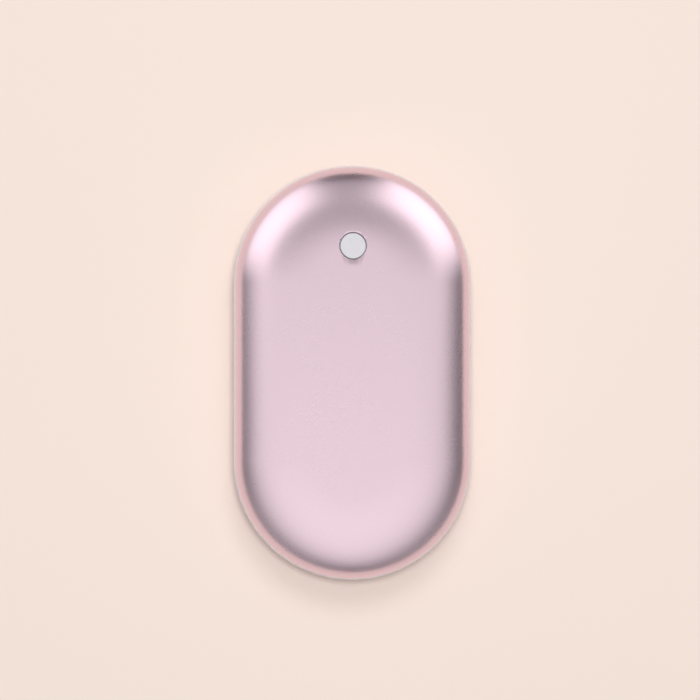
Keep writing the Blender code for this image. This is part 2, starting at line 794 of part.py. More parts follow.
def make_usb_a(parts, cutters, steel, plastic, gold):
    """The power-bank output: sleeve with its spring slots, tongue and four contacts."""
    centre = Vector((usb_a_place, socket_mouth - usb_a_size.y / 2, mid_height))
    body = sleeve("usb_a_shell", parts, usb_a_size, usb_a_corner, centre, steel)
    for number, side in enumerate((-1, 1), 1):
        x = centre.x + side * usb_a_slot_spread
        slot_size = (usb_a_slot_width, usb_a_slot_length, usb_a_height + overrun)
        slot_centre = (x, socket_mouth - usb_a_slot_place, mid_height)
        cut(body, block(f"spring_slot_{number}", cutters, slot_size, slot_centre))
    room = 2 * (socket_wall + seat_gap)
    back = socket_mouth - usb_a_size.y + socket_wall + seat_gap
    base = (usb_a_size.x - room, usb_a_base_length, usb_a_size.z - room)
    tongue("usb_a_tongue", parts, cutters, usb_a_tongue_size, base, back, centre, usb_a_tongue_drop, plastic)
    low = mid_height - usb_a_tongue_drop + usb_a_tongue_size.z / 2 + solder_gap
    run = back + usb_a_base_length + solder_gap + contact_size.y / 2
    for number, share in enumerate(contact_spread_shares, 1):
        contact_centre = (centre.x + share * contact_spread, run, low + contact_size.z / 2)
        block(f"usb_a_contact_{number}", parts, contact_size, contact_centre, gold)


def make_usb_c(parts, cutters, steel, plastic):
    """The charging socket: sleeve and tongue."""
    centre = Vector((usb_c_place, socket_mouth - usb_c_size.y / 2, usb_c_middle()))
    sleeve("usb_c_shell", parts, usb_c_size, usb_c_corner, centre, steel)
    room = 2 * (socket_wall + seat_gap)
    back = socket_mouth - usb_c_size.y + socket_wall + seat_gap
    side_room = room + usb_c_size.z / 2
    base = (usb_c_size.x - side_room, usb_c_base_length, usb_c_size.z - room)
    tongue("usb_c_tongue", parts, cutters, usb_c_tongue_size, base, back, centre, 0, plastic)


def slack_run(x, y, low, high):
    """A wire that stands between two heights with a little slack in its middle."""
    points = []
    for step in range(wire_steps + 1):
        share = step / wire_steps
        bow = wire_slack * math.sin(share * math.pi) ** 2
        points.append((x, y + bow, low + share * (high - low)))
    return points


def make_heater_leads(parts, look):
    """Two wires from each heating film to the board."""
    film_inside = mid_height - heater_depth - heater_thickness - solder_gap
    runs = (
        ("front", part_low, mid_height + film_inside),
        ("rear", mid_height - film_inside, board_bottom - solder_gap),
    )
    for name, low, high in runs:
        for number, spread in enumerate((-heater_lead_spread, heater_lead_spread), 1):
            points = slack_run(spread, heater_lead_place, low, high)
            wire(f"{name}_heater_lead_{number}", parts, points, heater_lead_radius, look)


def make_thermistor(parts, bead_look, lead_look):
    """The temperature probe: a bead under the front film and its lead to the board."""
    film_inside = body_height - heater_depth - heater_thickness
    bm = bmesh.new()
    bmesh.ops.create_uvsphere(bm, u_segments=12, v_segments=8, radius=0.5, matrix=Matrix.Diagonal((*probe_size, 1)))
    top = film_inside - seat_gap
    place("thermistor", bm, parts, bead_look, (0, probe_place, top - probe_size.z / 2))
    points = slack_run(0, probe_place, part_low, top - probe_size.z - solder_gap)
    wire("thermistor_lead", parts, points, heater_lead_radius, lead_look)


def make_screw(name, parts, centre, seat, length, look):
    """A pan-head screw driven upwards, with its head under the seat height."""
    under = -(screw_head_height + solder_gap)
    neck = -solder_gap
    profile = (
        (0, length),
        (screw_shaft_radius, length),
        (screw_shaft_radius, neck),
        (screw_head_radius, neck),
        (screw_head_radius, under),
        (0, under),
    )
    turned(name, parts, profile, screw_sides, look, (*centre, seat))


def main():
    """Build the hand warmer."""
    clear_scene()
    parts = collection("hand_warmer")
    cutters = collection("cutters")

    rose = finish("rose aluminium", (0.80, 0.63, 0.70), 0.35, 1.0)
    white = finish("white plastic", (0.85, 0.84, 0.84), 0.45)
    button_white = finish("translucent plastic", (0.80, 0.80, 0.81), 0.5)
    black = finish("black plastic", (0.03, 0.03, 0.035), 0.5)
    film = finish("heating film", (0.55, 0.22, 0.05), 0.35)
    foam = finish("foam", (0.12, 0.12, 0.12), 0.9)
    pouch = finish("pouch cell", (0.62, 0.63, 0.65), 0.4, 0.8)
    tape = finish("tape", (0.75, 0.72, 0.6), 0.6)
    green = finish("circuit board", (0.02, 0.18, 0.07), 0.4)
    steel = finish("steel", (0.6, 0.6, 0.62), 0.3, 1.0)
    gold = finish("gold contact", (0.9, 0.68, 0.3), 0.25, 1.0)
    ferrite = finish("ferrite", (0.08, 0.08, 0.085), 0.6)
    red = finish("red insulation", (0.6, 0.02, 0.02), 0.45)
    lamp = finish("lamp", (0.95, 0.9, 0.7), 0.3)
    probe = finish("probe epoxy", (0.15, 0.1, 0.05), 0.4)

    front = make_shell("front_shell", 1, parts, rose)
    hole = (button_hole_radius, 0, button_place, mid_height, body_height + overrun)
    cut(front, rod("button_hole", cutters, *hole, sides=cap_sides))
    make_shell("rear_shell", -1, parts, rose)
    make_mid_frame(parts, cutters, white)
    make_button_cap(parts, button_white)

    film_front = make_heater("front_heater", 1, parts, film)
    eye = (heater_eye_radius, 0, button_place, mid_height, body_height + overrun)
    cut(film_front, rod("heater_eye", cutters, *eye, sides=cap_sides))
    make_heater("rear_heater", -1, parts, film)
    make_front_liner(parts, cutters, white)
    make_rear_liner(parts, cutters, white)

    make_cells(parts, pouch, tape, foam)
    make_protection(parts, green, black, red, black)
    make_main_board(parts, cutters, green)
    make_board_parts(parts, black, ferrite, pouch)
    make_switch(parts, cutters, black, button_white)
    make_leds(parts, lamp)
    make_usb_a(parts, cutters, steel, white, gold)
    make_usb_c(parts, cutters, steel, black)
    make_heater_leads(parts, red)
    make_thermistor(parts, probe, black)

    seat, end = case_screw_ends()
    for number, centre in enumerate(case_screws, 1):
        make_screw(f"case_screw_{number}", parts, centre, seat, end - screw_tip_room - seat, steel)
    for number, centre in enumerate(board_screws, 1):
        make_screw(f"board_screw_{number}", parts, centre, board_bottom, board_screw_length, steel)


main()
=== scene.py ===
"""Rechargeable hand warmer: two anodised aluminium shells on a white plastic band, with a translucent push button."""

import math

import bmesh
import bpy
from mathutils import Matrix, Vector


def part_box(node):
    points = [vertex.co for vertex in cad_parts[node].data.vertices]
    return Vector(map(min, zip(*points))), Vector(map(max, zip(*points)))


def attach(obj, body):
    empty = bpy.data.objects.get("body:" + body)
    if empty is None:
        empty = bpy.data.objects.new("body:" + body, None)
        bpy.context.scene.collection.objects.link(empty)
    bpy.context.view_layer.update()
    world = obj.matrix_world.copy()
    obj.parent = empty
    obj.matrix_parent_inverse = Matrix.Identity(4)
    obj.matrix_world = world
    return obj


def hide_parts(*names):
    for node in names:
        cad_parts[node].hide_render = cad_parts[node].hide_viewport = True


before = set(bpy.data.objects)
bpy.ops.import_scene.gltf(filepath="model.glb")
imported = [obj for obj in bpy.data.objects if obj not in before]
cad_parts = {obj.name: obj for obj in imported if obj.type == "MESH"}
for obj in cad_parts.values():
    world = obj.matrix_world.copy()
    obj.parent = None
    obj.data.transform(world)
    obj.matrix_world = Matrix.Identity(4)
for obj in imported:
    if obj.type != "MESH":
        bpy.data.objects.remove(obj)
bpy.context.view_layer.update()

bl_info = {
    "name": "Hand warmer",
    "version": (1, 0, 0),
    "blender": (4, 5, 0),
    "location": "View3D > Sidebar > Hand warmer",
    "description": "Models a pebble-shaped rechargeable hand warmer with its finishes and its studio",
    "category": "Add Mesh",
}

MM = 0.001
TINY = 1e-6

# Depth under the crown within which a vertex of the button hole is on the shell's outside
OUTSIDE_DEPTH = 0.3 * MM

# Faces round a hole or the cap, a screw lug and the port plate's arc, and in a quarter of the band
HOLE_SIDES = 96
LUG_SIDES = 48
ARC_SIDES = 128
BAND_STEPS = 32

# Faces in a rounded edge of the band, the windows and the cap
EDGE_STEPS = 8
WINDOW_STEPS = 8
CAP_STEPS = 10

# What the CAD nodes give: the pebble's overall form and where its pieces sit
shell_low, shell_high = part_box("front_shell")
band_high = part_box("mid_frame")[1]
cap_low, cap_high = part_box("button_cap")
sleeve_a_low, sleeve_a_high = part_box("usb_a_shell")
sleeve_c_low, sleeve_c_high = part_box("usb_c_shell")
ROUND_END = shell_high.x
ARC_CENTRE = shell_high.y - shell_high.x
TOP = shell_high.z
MID = TOP / 2
RIM = shell_low.z - MID
BUTTON = (cap_low.y + cap_high.y) / 2
MOUTH = sleeve_a_high.y

# Side view of a spring tab: shares of its run and of its dip
TAB_SHAPE = [(-0.02, 0), (0.12, 0), (0.3, 0.25), (0.55, 0.75), (0.75, 1), (0.88, 0.9), (1, 0.45)]

# The studio in metres: the floor's side, the hemisphere's radius, place and diameter of each soft lamp
FLOOR_SIZE = 12
TENT_RADIUS = 4
TOP_LAMP = ((0, 0.04, 1.5), 0.26)
BACK_LAMP = ((0.03, 0.27, 0.8), 0.28)

# Middle of the picture, in millimetres
PICTURE_MIDDLE = (-0.63, 5.46, 20.7)


def length(name, description, default):
    """A length that a user can set, in metres."""
    return bpy.props.FloatProperty(
        name=name, description=description, default=default, min=0, precision=5, subtype="DISTANCE", unit="LENGTH"
    )


def colour(name, description, default):
    """A colour that a user can set."""
    return bpy.props.FloatVectorProperty(
        name=name, description=description, default=default, size=3, min=0, max=1, subtype="COLOR"
    )


def share(name, description, default):
    """A value from 0 to 1 that a user can set."""
    return bpy.props.FloatProperty(
        name=name, description=description, default=default, min=0, max=1, subtype="FACTOR"
    )


class CaseSizes(bpy.types.PropertyGroup):
    """Sizes of the two domed shells."""

    wall: length("Wall", "Thickness of the aluminium", 0.8 * MM)
    crown_reach: length("Crown reach", "Half width of the flat crown", 8 * MM)
    dome_power: bpy.props.FloatProperty(
        name="Dome power", description="Power of the superellipse from crown to rim", default=2.6, min=2, max=6
    )
    dome_steps: bpy.props.IntProperty(
        name="Dome steps", description="Faces from crown to rim", default=44, min=6, max=96
    )
    turn_steps: bpy.props.IntProperty(
        name="Turn steps", description="Faces in a quarter of a round end", default=32, min=4, max=96
    )
    rim_round: length("Rim rounding", "Rounding of the shell's cut rim", 0.12 * MM)
    hole_radius: length("Button hole", "Radius of the button hole", 3.325 * MM)
    hole_edge: length("Hole edge", "Width of the broken edge of the button hole", 0.1 * MM)


class BandSizes(bpy.types.PropertyGroup):
    """Sizes of the white band between the shells."""

    edge_round: length("Edge rounding", "Rounding of the band's outer edges", 0.8 * MM)
    tongue_wall: length("Tongue wall", "Thickness of the tongues inside the shells", 1.4 * MM)
    tongue_height: length("Tongue height", "How far the tongues stand into the shells", 1.3 * MM)
    band_height: length("Band height", "Height of the visible band", 8 * MM)
    window_gap: length("Window gap", "Room round a socket in its window", 0.3 * MM)
    window_flare: length("Window flare", "How far a window widens to the outside, on each side", 0.3 * MM)
    flare_depth: length("Flare depth", "Depth over which a window widens by its flare", 3.8 * MM)
    cut_run: length("Window run", "How far a window's cutter runs past the socket's mouth", 6 * MM)
    lug_radius: length("Screw lug", "Radius of the lugs that the case screws pass through", 2.1 * MM)
    lug_hole: length("Lug hole", "Radius of the holes in the lugs", 1.2 * MM)
    web_wall: length("Web wall", "Thickness of the webs and ribs", 1.4 * MM)
    web_drop: length("Web drop", "How far the webs stay below the tongues' edges", 0.5 * MM)
    rib_height: length("Rib height", "Height of the ribs that hold the cells", 6 * MM)
    rib_place: share("Rib place", "Distance of a rib from the cells' middle, as a share of their length", 0.27)
    seat_room: length("Seat room", "From the outside of a shell to the outside of a tongue", 1.1 * MM)
    plate_margin: length("Plate margin", "Width of the port plate beside the sockets", 1.75 * MM)


class ButtonSizes(bpy.types.PropertyGroup):
    """Sizes of the push button."""

    edge_round: length("Edge rounding", "Rounding of the cap's edge", 0.3 * MM)
    flange_thickness: length("Flange thickness", "Thickness of the flange inside the case", 1.2 * MM)
    cap_radius: length("Cap radius", "Radius of the cap", 3.075 * MM)
    flange_round: length("Flange rounding", "Width of the flange's broken edges", 0.15 * MM)


class SocketSizes(bpy.types.PropertyGroup):
    """Sizes of the two sockets' steel sleeves."""

    wall: length("Sheet", "Thickness of the folded sheet", 0.3 * MM)
    large_corner: length("Large corner", "Corner rounding of the large socket", 0.7 * MM)
    small_corner: length("Small corner", "Corner rounding of the small socket", 1.6 * MM)
    slot_width: length("Slot width", "Width of the slots round the spring tabs", 1.6 * MM)
    slot_length: length("Slot length", "Length of the slots round the spring tabs", 5 * MM)
    slot_spread: length("Slot spread", "Distance of the slots from the socket's middle", 3 * MM)
    slot_place: length("Slot place", "Distance of the slots' middle from the mouth", 5 * MM)
    tab_gap: length("Tab gap", "Gap between a spring tab and its slot", 0.2 * MM)
    tab_dip: length("Tab dip", "How far a spring tab dips into the socket", 0.35 * MM)
    mouth_break: length("Mouth edge", "Width of the broken edge at a sleeve's mouth", 0.08 * MM)


class Finishes(bpy.types.PropertyGroup):
    """Colours and grain of the outside."""

    shell_colour: colour("Shell", "Anodised colour of the aluminium", (0.80, 0.617, 0.695))
    shell_roughness: share("Shell roughness", "Roughness of the blasted aluminium", 0.28)
    grain_size: length("Grain size", "Size of the blasted grain", 0.4 * MM)
    grain_depth: share("Grain depth", "Strength of the blasted grain", 0.8)
    band_colour: colour("Band", "Colour of the white moulding", (0.84, 0.85, 0.88))
    button_colour: colour("Button", "Colour of the push button", (0.7, 0.685, 0.725))


class Studio(bpy.types.PropertyGroup):
    """Floor, light and camera."""

    floor_colour: colour("Floor", "Colour of the floor", (0.905, 0.775, 0.70))
    world_level: share("World level", "Level of the light from all round on matt surfaces", 0.26)
    top_power: bpy.props.FloatProperty(
        name="Top lamp", description="Power of the lamp straight above", default=12.3, min=0, unit="POWER"
    )
    back_power: bpy.props.FloatProperty(
        name="Back lamp", description="Power of the lamp above and behind", default=1.5, min=0, unit="POWER"
    )
    lens: bpy.props.FloatProperty(name="Lens", description="Focal length in millimetres", default=200, min=10)
    camera_distance: length("Camera distance", "From the camera to the middle of the picture", 941 * MM)
    lean_across: bpy.props.FloatProperty(
        name="Lean across", description="Lean of the camera towards -X", default=math.radians(1.0), subtype="ANGLE"
    )
    lean_along: bpy.props.FloatProperty(
        name="Lean along", description="Lean of the camera towards -Y", default=math.radians(1.0), subtype="ANGLE"
    )


def leave_edit():
    """Back to object mode with nothing selected."""
    if bpy.context.object and bpy.context.object.mode != "OBJECT":
        bpy.ops.object.mode_set(mode="OBJECT")
    bpy.ops.object.select_all(action="DESELECT")


def named(name):
    """Name the new active object and its mesh."""
    piece = bpy.context.object
    piece.name = name
    piece.data.name = name
    return piece


def only(piece):
    """Make one object the active and the only selected one."""
    leave_edit()
    piece.select_set(True)
    bpy.context.view_layer.objects.active = piece


def edit(piece):
    """Enter edit mode on one object."""
    only(piece)
    bpy.ops.object.mode_set(mode="EDIT")


def choose(piece, kind, test):
    """Select, in edit mode, the vertices, edges or faces that pass a test."""
    bpy.ops.mesh.select_mode(type=kind)
    bpy.ops.mesh.select_all(action="DESELECT")
    mesh = bmesh.from_edit_mesh(piece.data)
    for item in {"VERT": mesh.verts, "EDGE": mesh.edges, "FACE": mesh.faces}[kind]:
        if test(item):
            item.select_set(True)
    mesh.select_flush_mode()
    bmesh.update_edit_mesh(piece.data)


def start_section(name):
    """A small plane, merged to the one vertex that a section is drawn from."""
    leave_edit()
    bpy.ops.mesh.primitive_plane_add(size=MM, location=(0, 0, 0))
    piece = named(name)
    edit(piece)
    bpy.ops.mesh.select_mode(type="VERT")
    bpy.ops.mesh.select_all(action="SELECT")
    bpy.ops.mesh.merge(type="CENTER")
    return piece


def draw(points):
    """Move the vertex to the first point and extrude it through the others."""
    points = [Vector(point) for point in points]
    bpy.ops.transform.translate(value=points[0])
    for last, point in zip(points, points[1:]):
        bpy.ops.mesh.extrude_region_move(TRANSFORM_OT_translate={"value": point - last})


def apply_step(piece, kind, **values):
    """Add a modifier to a piece and apply it."""
    only(piece)
    step = piece.modifiers.new(kind.title(), kind)
    for name, value in values.items():
        setattr(step, name, value)
    bpy.ops.object.modifier_apply(modifier=step.name)


def combine(piece, tool, operation):
    """Boolean a tool with a piece, and remove the tool."""
    apply_step(piece, "BOOLEAN", object=tool, operation=operation, solver="EXACT")
    bpy.data.objects.remove(tool, do_unlink=True)


def tidy_surface(piece):
    """Merge doubled vertices and turn all faces outwards."""
    edit(piece)
    bpy.ops.mesh.select_all(action="SELECT")
    bpy.ops.mesh.remove_doubles(threshold=TINY)
    bpy.ops.mesh.normals_make_consistent(inside=False)
    leave_edit()


def smooth(piece, degrees=35):
    """Shade a finished piece smooth, with its real edges kept sharp."""
    only(piece)
    bpy.ops.object.shade_smooth_by_angle(angle=math.radians(degrees))
    leave_edit()


def sweep_round(name, section, steps):
    """Sweep a section of (reach, height over the mid plane) round the whole pebble."""
    piece = start_section(name)
    draw([(reach, ARC_CENTRE, MID + height) for reach, height in section])
    bpy.ops.mesh.select_all(action="SELECT")
    bpy.ops.mesh.spin(steps=steps, angle=-math.pi / 2, center=(0, ARC_CENTRE, 0), axis=(0, 0, 1))
    choose(piece, "VERT", lambda vert: abs(vert.co.y - ARC_CENTRE) < TINY)
    bpy.ops.mesh.extrude_region_move(TRANSFORM_OT_translate={"value": (0, -ARC_CENTRE, 0)})
    tidy_surface(piece)
    apply_step(piece, "MIRROR", use_axis=(True, True, False), merge_threshold=TINY)
    tidy_surface(piece)
    return piece


def cylinder(name, radius, x, y, low, high, sides=HOLE_SIDES):
    """An upright cylinder between two heights."""
    leave_edit()
    bpy.ops.mesh.primitive_cylinder_add(
        vertices=sides, radius=radius, depth=high - low, location=(x, y, (low + high) / 2)
    )
    piece = named(name)
    bpy.ops.object.transform_apply(location=True, rotation=True, scale=True)
    return piece


def block(name, size, centre, turn=0):
    """A block at its place, with its size and turn applied to its mesh."""
    leave_edit()
    bpy.ops.mesh.primitive_cube_add(size=1, location=centre, rotation=(0, 0, turn), scale=size)
    piece = named(name)
    bpy.ops.object.transform_apply(location=True, rotation=True, scale=True)
    return piece


def along_y(edge):
    """Whether an edge runs along Y."""
    way = edge.verts[1].co - edge.verts[0].co
    return abs(way.y) > 10 * max(abs(way.x), abs(way.z))


def round_long_edges(piece, radius, segments):
    """Round the edges of a block that run along Y."""
    edit(piece)
    choose(piece, "EDGE", along_y)
    bpy.ops.mesh.bevel(offset=radius, segments=segments, affect="EDGES")
    leave_edit()


def settle(piece, body, slot, look, *nodes):
    """Give a finished piece its body and its material, and hide the CAD nodes that it stands for. The slot is not
    used.
    """
    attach(piece, body)
    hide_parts(*nodes)
    piece.data.materials.clear()
    piece.data.materials.append(look)


def dress(look, *nodes):
    """Give carried-over CAD nodes a material."""
    for node in nodes:
        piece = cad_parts[node]
        piece.data.materials.clear()
        piece.data.materials.append(look)


def dome_section(sizes):
    """Half section of a shell's outer surface, from the middle of the crown to the rim."""
    width = ROUND_END - sizes.crown_reach
    height = MID - RIM
    section = [(0, MID), (sizes.crown_reach / 2, MID)]
    for step in range(sizes.dome_steps + 1):
        angle = step / sizes.dome_steps * math.pi / 2
        across = math.sin(angle) ** (2 / sizes.dome_power)
        up = math.cos(angle) ** (2 / sizes.dome_power)
        section.append((sizes.crown_reach + width * across, RIM + height * up))
    return section


def make_case(name, side, sizes):
    """One domed shell with its wall and a softly broken rim."""
    section = [(reach, side * height) for reach, height in dome_section(sizes)]
    piece = sweep_round(name, section, sizes.turn_steps)
    apply_step(piece, "SOLIDIFY", thickness=sizes.wall, offset=-1, use_even_offset=True)
    rim = MID + side * RIM
    edit(piece)
    choose(piece, "EDGE", lambda edge: all(abs(vert.co.z - rim) < TINY for vert in edge.verts)
           and len({face.normal.z > 0.9 or face.normal.z < -0.9 for face in edge.link_faces}) == 2)
    bpy.ops.mesh.bevel(offset=sizes.rim_round, segments=2, affect="EDGES")
    leave_edit()
    return piece


def round_button(vert, sizes):
    """Whether a vertex lies on the button hole's wall, on the outside of the shell."""
    reach = math.hypot(vert.co.x, vert.co.y - BUTTON)
    return abs(reach - sizes.hole_radius) < 10 * TINY and vert.co.z > TOP - OUTSIDE_DEPTH


class HAND_WARMER_OT_cases(bpy.types.Operator):
    """Model the two anodised shells, the front one with its button hole"""

    bl_idname = "hand_warmer.cases"
    bl_label = "Shells"

    def execute(self, context):
        sizes = context.scene.hand_warmer_case
        look = rose_aluminium(context.scene.hand_warmer_finishes)
        front = make_case("front_case", 1, sizes)
        hole = cylinder("button_hole", sizes.hole_radius, 0, BUTTON, MID, TOP + MM)
        combine(front, hole, "DIFFERENCE")
        edit(front)
        choose(front, "EDGE", lambda edge: all(round_button(vert, sizes) for vert in edge.verts))
        bpy.ops.mesh.bevel(offset=sizes.hole_edge, segments=3, affect="EDGES")
        leave_edit()
        smooth(front)
        settle(front, "casing", "rose_aluminium", look, "front_shell")
        rear = make_case("rear_case", -1, sizes)
        smooth(rear)
        settle(rear, "casing", "rose_aluminium", look, "rear_shell")
        return {"FINISHED"}


def band_section(sizes):
    """Closed section of the band: rounded edges outside, a tongue at each edge, a straight wall inside."""
    outer = band_high.x
    edge = sizes.band_height / 2
    upper = []
    for step in range(EDGE_STEPS + 1):
        angle = step / EDGE_STEPS * math.pi / 2
        reach = outer - sizes.edge_round + sizes.edge_round * math.cos(angle)
        upper.append((reach, edge - sizes.edge_round + sizes.edge_round * math.sin(angle)))
    tongue_outer = tongue_reach(sizes) + sizes.tongue_wall
    top = edge + sizes.tongue_height
    upper += [(tongue_outer, edge), (tongue_outer, top), (tongue_reach(sizes), top)]
    lower = [(reach, -height) for reach, height in reversed(upper)]
    return upper + lower + upper[:1]


def tongue_reach(sizes):
    """Reach of the band's inside from the spine: shell, seat gap and tongue lie between."""
    return ROUND_END - sizes.seat_room - sizes.tongue_wall


def window(name, low, high, sizes, corner):
    """Cutter of one port window: straight round the socket, then flared to the outside."""
    gap = sizes.window_gap
    size = Vector((high.x - low.x + 2 * gap, high.y - ARC_CENTRE, high.z - low.z + 2 * gap))
    centre = Vector(((low.x + high.x) / 2, (high.y + ARC_CENTRE) / 2, (low.z + high.z) / 2))
    piece = block(name, size, centre)
    round_long_edges(piece, corner + gap, WINDOW_STEPS)
    grown = 2 * sizes.window_flare * sizes.cut_run / sizes.flare_depth
    edit(piece)
    choose(piece, "FACE", lambda face: face.normal.y > 0.9)
    bpy.ops.mesh.extrude_region_move(TRANSFORM_OT_translate={"value": (0, sizes.cut_run, 0)})
    bpy.ops.transform.resize(
        value=((size.x + grown) / size.x, 1, (size.z + grown) / size.z), center_override=centre
    )
    leave_edit()
    return piece


class HAND_WARMER_OT_band(bpy.types.Operator):
    """Model the white band with its tongues, screw lugs, cell ribs and port windows"""

    bl_idname = "hand_warmer.band"
    bl_label = "Band"

    def execute(self, context):
        sizes = context.scene.hand_warmer_band
        band = sweep_round("band", band_section(sizes), BAND_STEPS)
        inner = tongue_reach(sizes)
        wall_middle = (inner + band_high.x) / 2
        top = sizes.band_height / 2 + sizes.tongue_height
        web_height = 2 * (top - sizes.web_drop)
        for number in range(1, 5):
            low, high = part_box(f"case_screw_{number}")
            centre = (low + high) / 2
            arc = Vector((0, math.copysign(ARC_CENTRE, centre.y), MID))
            spot = Vector((centre.x, centre.y, MID))
            outward = spot - arc
            reach = outward.length
            middle = arc + outward.normalized() * (wall_middle + reach) / 2
            turn = math.atan2(outward.y, outward.x)
            web = block("web", (wall_middle - reach, sizes.web_wall, web_height), middle, turn)
            combine(band, web, "UNION")
            lug = cylinder("lug", sizes.lug_radius, spot.x, spot.y, MID - top, MID + top, LUG_SIDES)
            combine(band, lug, "UNION")
            hole = cylinder("lug_hole", sizes.lug_hole, spot.x, spot.y, MID - top - MM, MID + top + MM, LUG_SIDES)
            combine(band, hole, "DIFFERENCE")
        cell_low, cell_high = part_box("cell_front")
        start = cell_high.x + sizes.window_gap
        middle_y = (cell_low.y + cell_high.y) / 2
        for side in (-1, 1):
            for step in (-1, 1):
                y = middle_y + step * sizes.rib_place * (cell_high.y - cell_low.y)
                centre = (side * (wall_middle + start) / 2, y, MID)
                combine(band, block("rib", (wall_middle - start, sizes.web_wall, sizes.rib_height), centre), "UNION")
        near = cell_low.y - sizes.window_gap
        far = -ARC_CENTRE - wall_middle
        rib = block("end_rib", (sizes.web_wall, near - far, sizes.rib_height), (0, (near + far) / 2, MID))
        combine(band, rib, "UNION")
        board_low, board_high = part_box("main_board")
        near = board_high.y + sizes.window_gap
        far = band_high.y
        reach = max(abs(sleeve_a_low.x), abs(sleeve_c_high.x)) + sizes.plate_margin
        plate = block("port_plate", (2 * reach, far - near, web_height), (0, (near + far) / 2, MID))
        arc = cylinder("port_arc", wall_middle, 0, ARC_CENTRE, MID - top, MID + top, ARC_SIDES)
        combine(plate, arc, "INTERSECT")
        combine(band, plate, "UNION")
        sleeves = context.scene.hand_warmer_sockets
        for name, low, high, corner in (
            ("large_window", sleeve_a_low, sleeve_a_high, sleeves.large_corner),
            ("small_window", sleeve_c_low, sleeve_c_high, sleeves.small_corner),
        ):
            combine(band, window(name, low, high, sizes, corner), "DIFFERENCE")
        smooth(band, 30)
        look = white_moulding(context.scene.hand_warmer_finishes)
        settle(band, "casing", "white_plastic", look, "mid_frame")
        return {"FINISHED"}


class HAND_WARMER_OT_button(bpy.types.Operator):
    """Turn the push button: a flat cap with a soft edge on a flange"""

    bl_idname = "hand_warmer.button"
    bl_label = "Button"

    def execute(self, context):
        sizes = context.scene.hand_warmer_button
        flange = cap_high.x
        shoulder = cap_low.z + sizes.flange_thickness
        section = [(0, TOP), (sizes.cap_radius / 2, TOP)]
        for step in range(CAP_STEPS + 1):
            angle = step / CAP_STEPS * math.pi / 2
            reach = sizes.cap_radius - sizes.edge_round + sizes.edge_round * math.sin(angle)
            section.append((reach, TOP - sizes.edge_round + sizes.edge_round * math.cos(angle)))
        softness = sizes.flange_round
        section += [
            (sizes.cap_radius, shoulder),
            (flange - softness, shoulder),
            (flange, shoulder - softness),
            (flange, cap_low.z + softness),
            (flange - softness, cap_low.z),
            (0, cap_low.z),
        ]
        button = start_section("button")
        draw([(reach, BUTTON, height) for reach, height in section])
        bpy.ops.mesh.select_all(action="SELECT")
        bpy.ops.mesh.spin(steps=HOLE_SIDES, angle=2 * math.pi, center=(0, BUTTON, 0), axis=(0, 0, 1))
        tidy_surface(button)
        smooth(button)
        look = frosted_button(context.scene.hand_warmer_finishes)
        settle(button, "button", "translucent_plastic", look, "button_cap")
        return {"FINISHED"}


def open_sleeve(name, low, high, corner, segments, sizes):
    """A folded sheet sleeve with rounded long edges, open at its mouth."""
    piece = block(name, high - low, (low + high) / 2)
    round_long_edges(piece, corner, segments)
    edit(piece)
    choose(piece, "FACE", lambda face: face.normal.y > 0.9)
    bpy.ops.mesh.delete(type="FACE")
    leave_edit()
    apply_step(piece, "SOLIDIFY", thickness=sizes.wall, offset=-1, use_even_offset=True)
    edit(piece)
    choose(piece, "EDGE", lambda edge: all(abs(vert.co.y - high.y) < TINY for vert in edge.verts)
           and any(abs(face.normal.y) < 0.5 for face in edge.link_faces))
    bpy.ops.mesh.bevel(offset=sizes.mouth_break, segments=2, affect="EDGES")
    leave_edit()
    return piece


def spring_tab(x, level, dip, sizes):
    """A spring tab cut from the sleeve: it leaves the slot's back end, dips into the socket and turns up."""
    start = MOUTH - sizes.slot_place - sizes.slot_length / 2
    run = sizes.slot_length - sizes.tab_gap
    width = sizes.slot_width - 2 * sizes.tab_gap
    tab = start_section("tab")
    draw([(x - width / 2, start + run * along, level + dip * down) for along, down in TAB_SHAPE])
    bpy.ops.mesh.select_all(action="SELECT")
    bpy.ops.mesh.extrude_region_move(TRANSFORM_OT_translate={"value": (width, 0, 0)})
    bpy.ops.mesh.select_all(action="SELECT")
    bpy.ops.mesh.normals_make_consistent(inside=False)
    leave_edit()
    apply_step(tab, "SOLIDIFY", thickness=sizes.wall, offset=0, use_even_offset=True)
    return tab


class HAND_WARMER_OT_sockets(bpy.types.Operator):
    """Fold the steel sleeves of the output socket and the charging socket"""

    bl_idname = "hand_warmer.sockets"
    bl_label = "Sockets"

    def execute(self, context):
        sizes = context.scene.hand_warmer_sockets
        look = plated_steel()
        large = open_sleeve("output_socket", sleeve_a_low, sleeve_a_high, sizes.large_corner, 6, sizes)
        middle = (sleeve_a_low + sleeve_a_high) / 2
        height = sleeve_a_high.z - sleeve_a_low.z
        slot_y = MOUTH - sizes.slot_place
        for side in (-1, 1):
            x = middle.x + side * sizes.slot_spread
            slot = block("slot", (sizes.slot_width, sizes.slot_length, height + 2 * MM), (x, slot_y, middle.z))
            combine(large, slot, "DIFFERENCE")
            for face in (-1, 1):
                level = middle.z + face * (height - sizes.wall) / 2
                tab = spring_tab(x, level, -face * sizes.tab_dip, sizes)
                only(large)
                tab.select_set(True)
                bpy.ops.object.join()
        smooth(large)
        settle(large, "casing", "steel", look, "usb_a_shell")
        small = open_sleeve("charging_socket", sleeve_c_low, sleeve_c_high, sizes.small_corner, 10, sizes)
        smooth(small)
        settle(small, "casing", "steel", look, "usb_c_shell")
        return {"FINISHED"}


def add_node(tree, kind, at, **values):
    """Add a node to a tree, set its options and its unlinked inputs."""
    made = tree.nodes.new(kind)
    made.location = at
    for name, value in values.items():
        if name in made.inputs:
            made.inputs[name].default_value = value
        else:
            setattr(made, name, value)
    return made


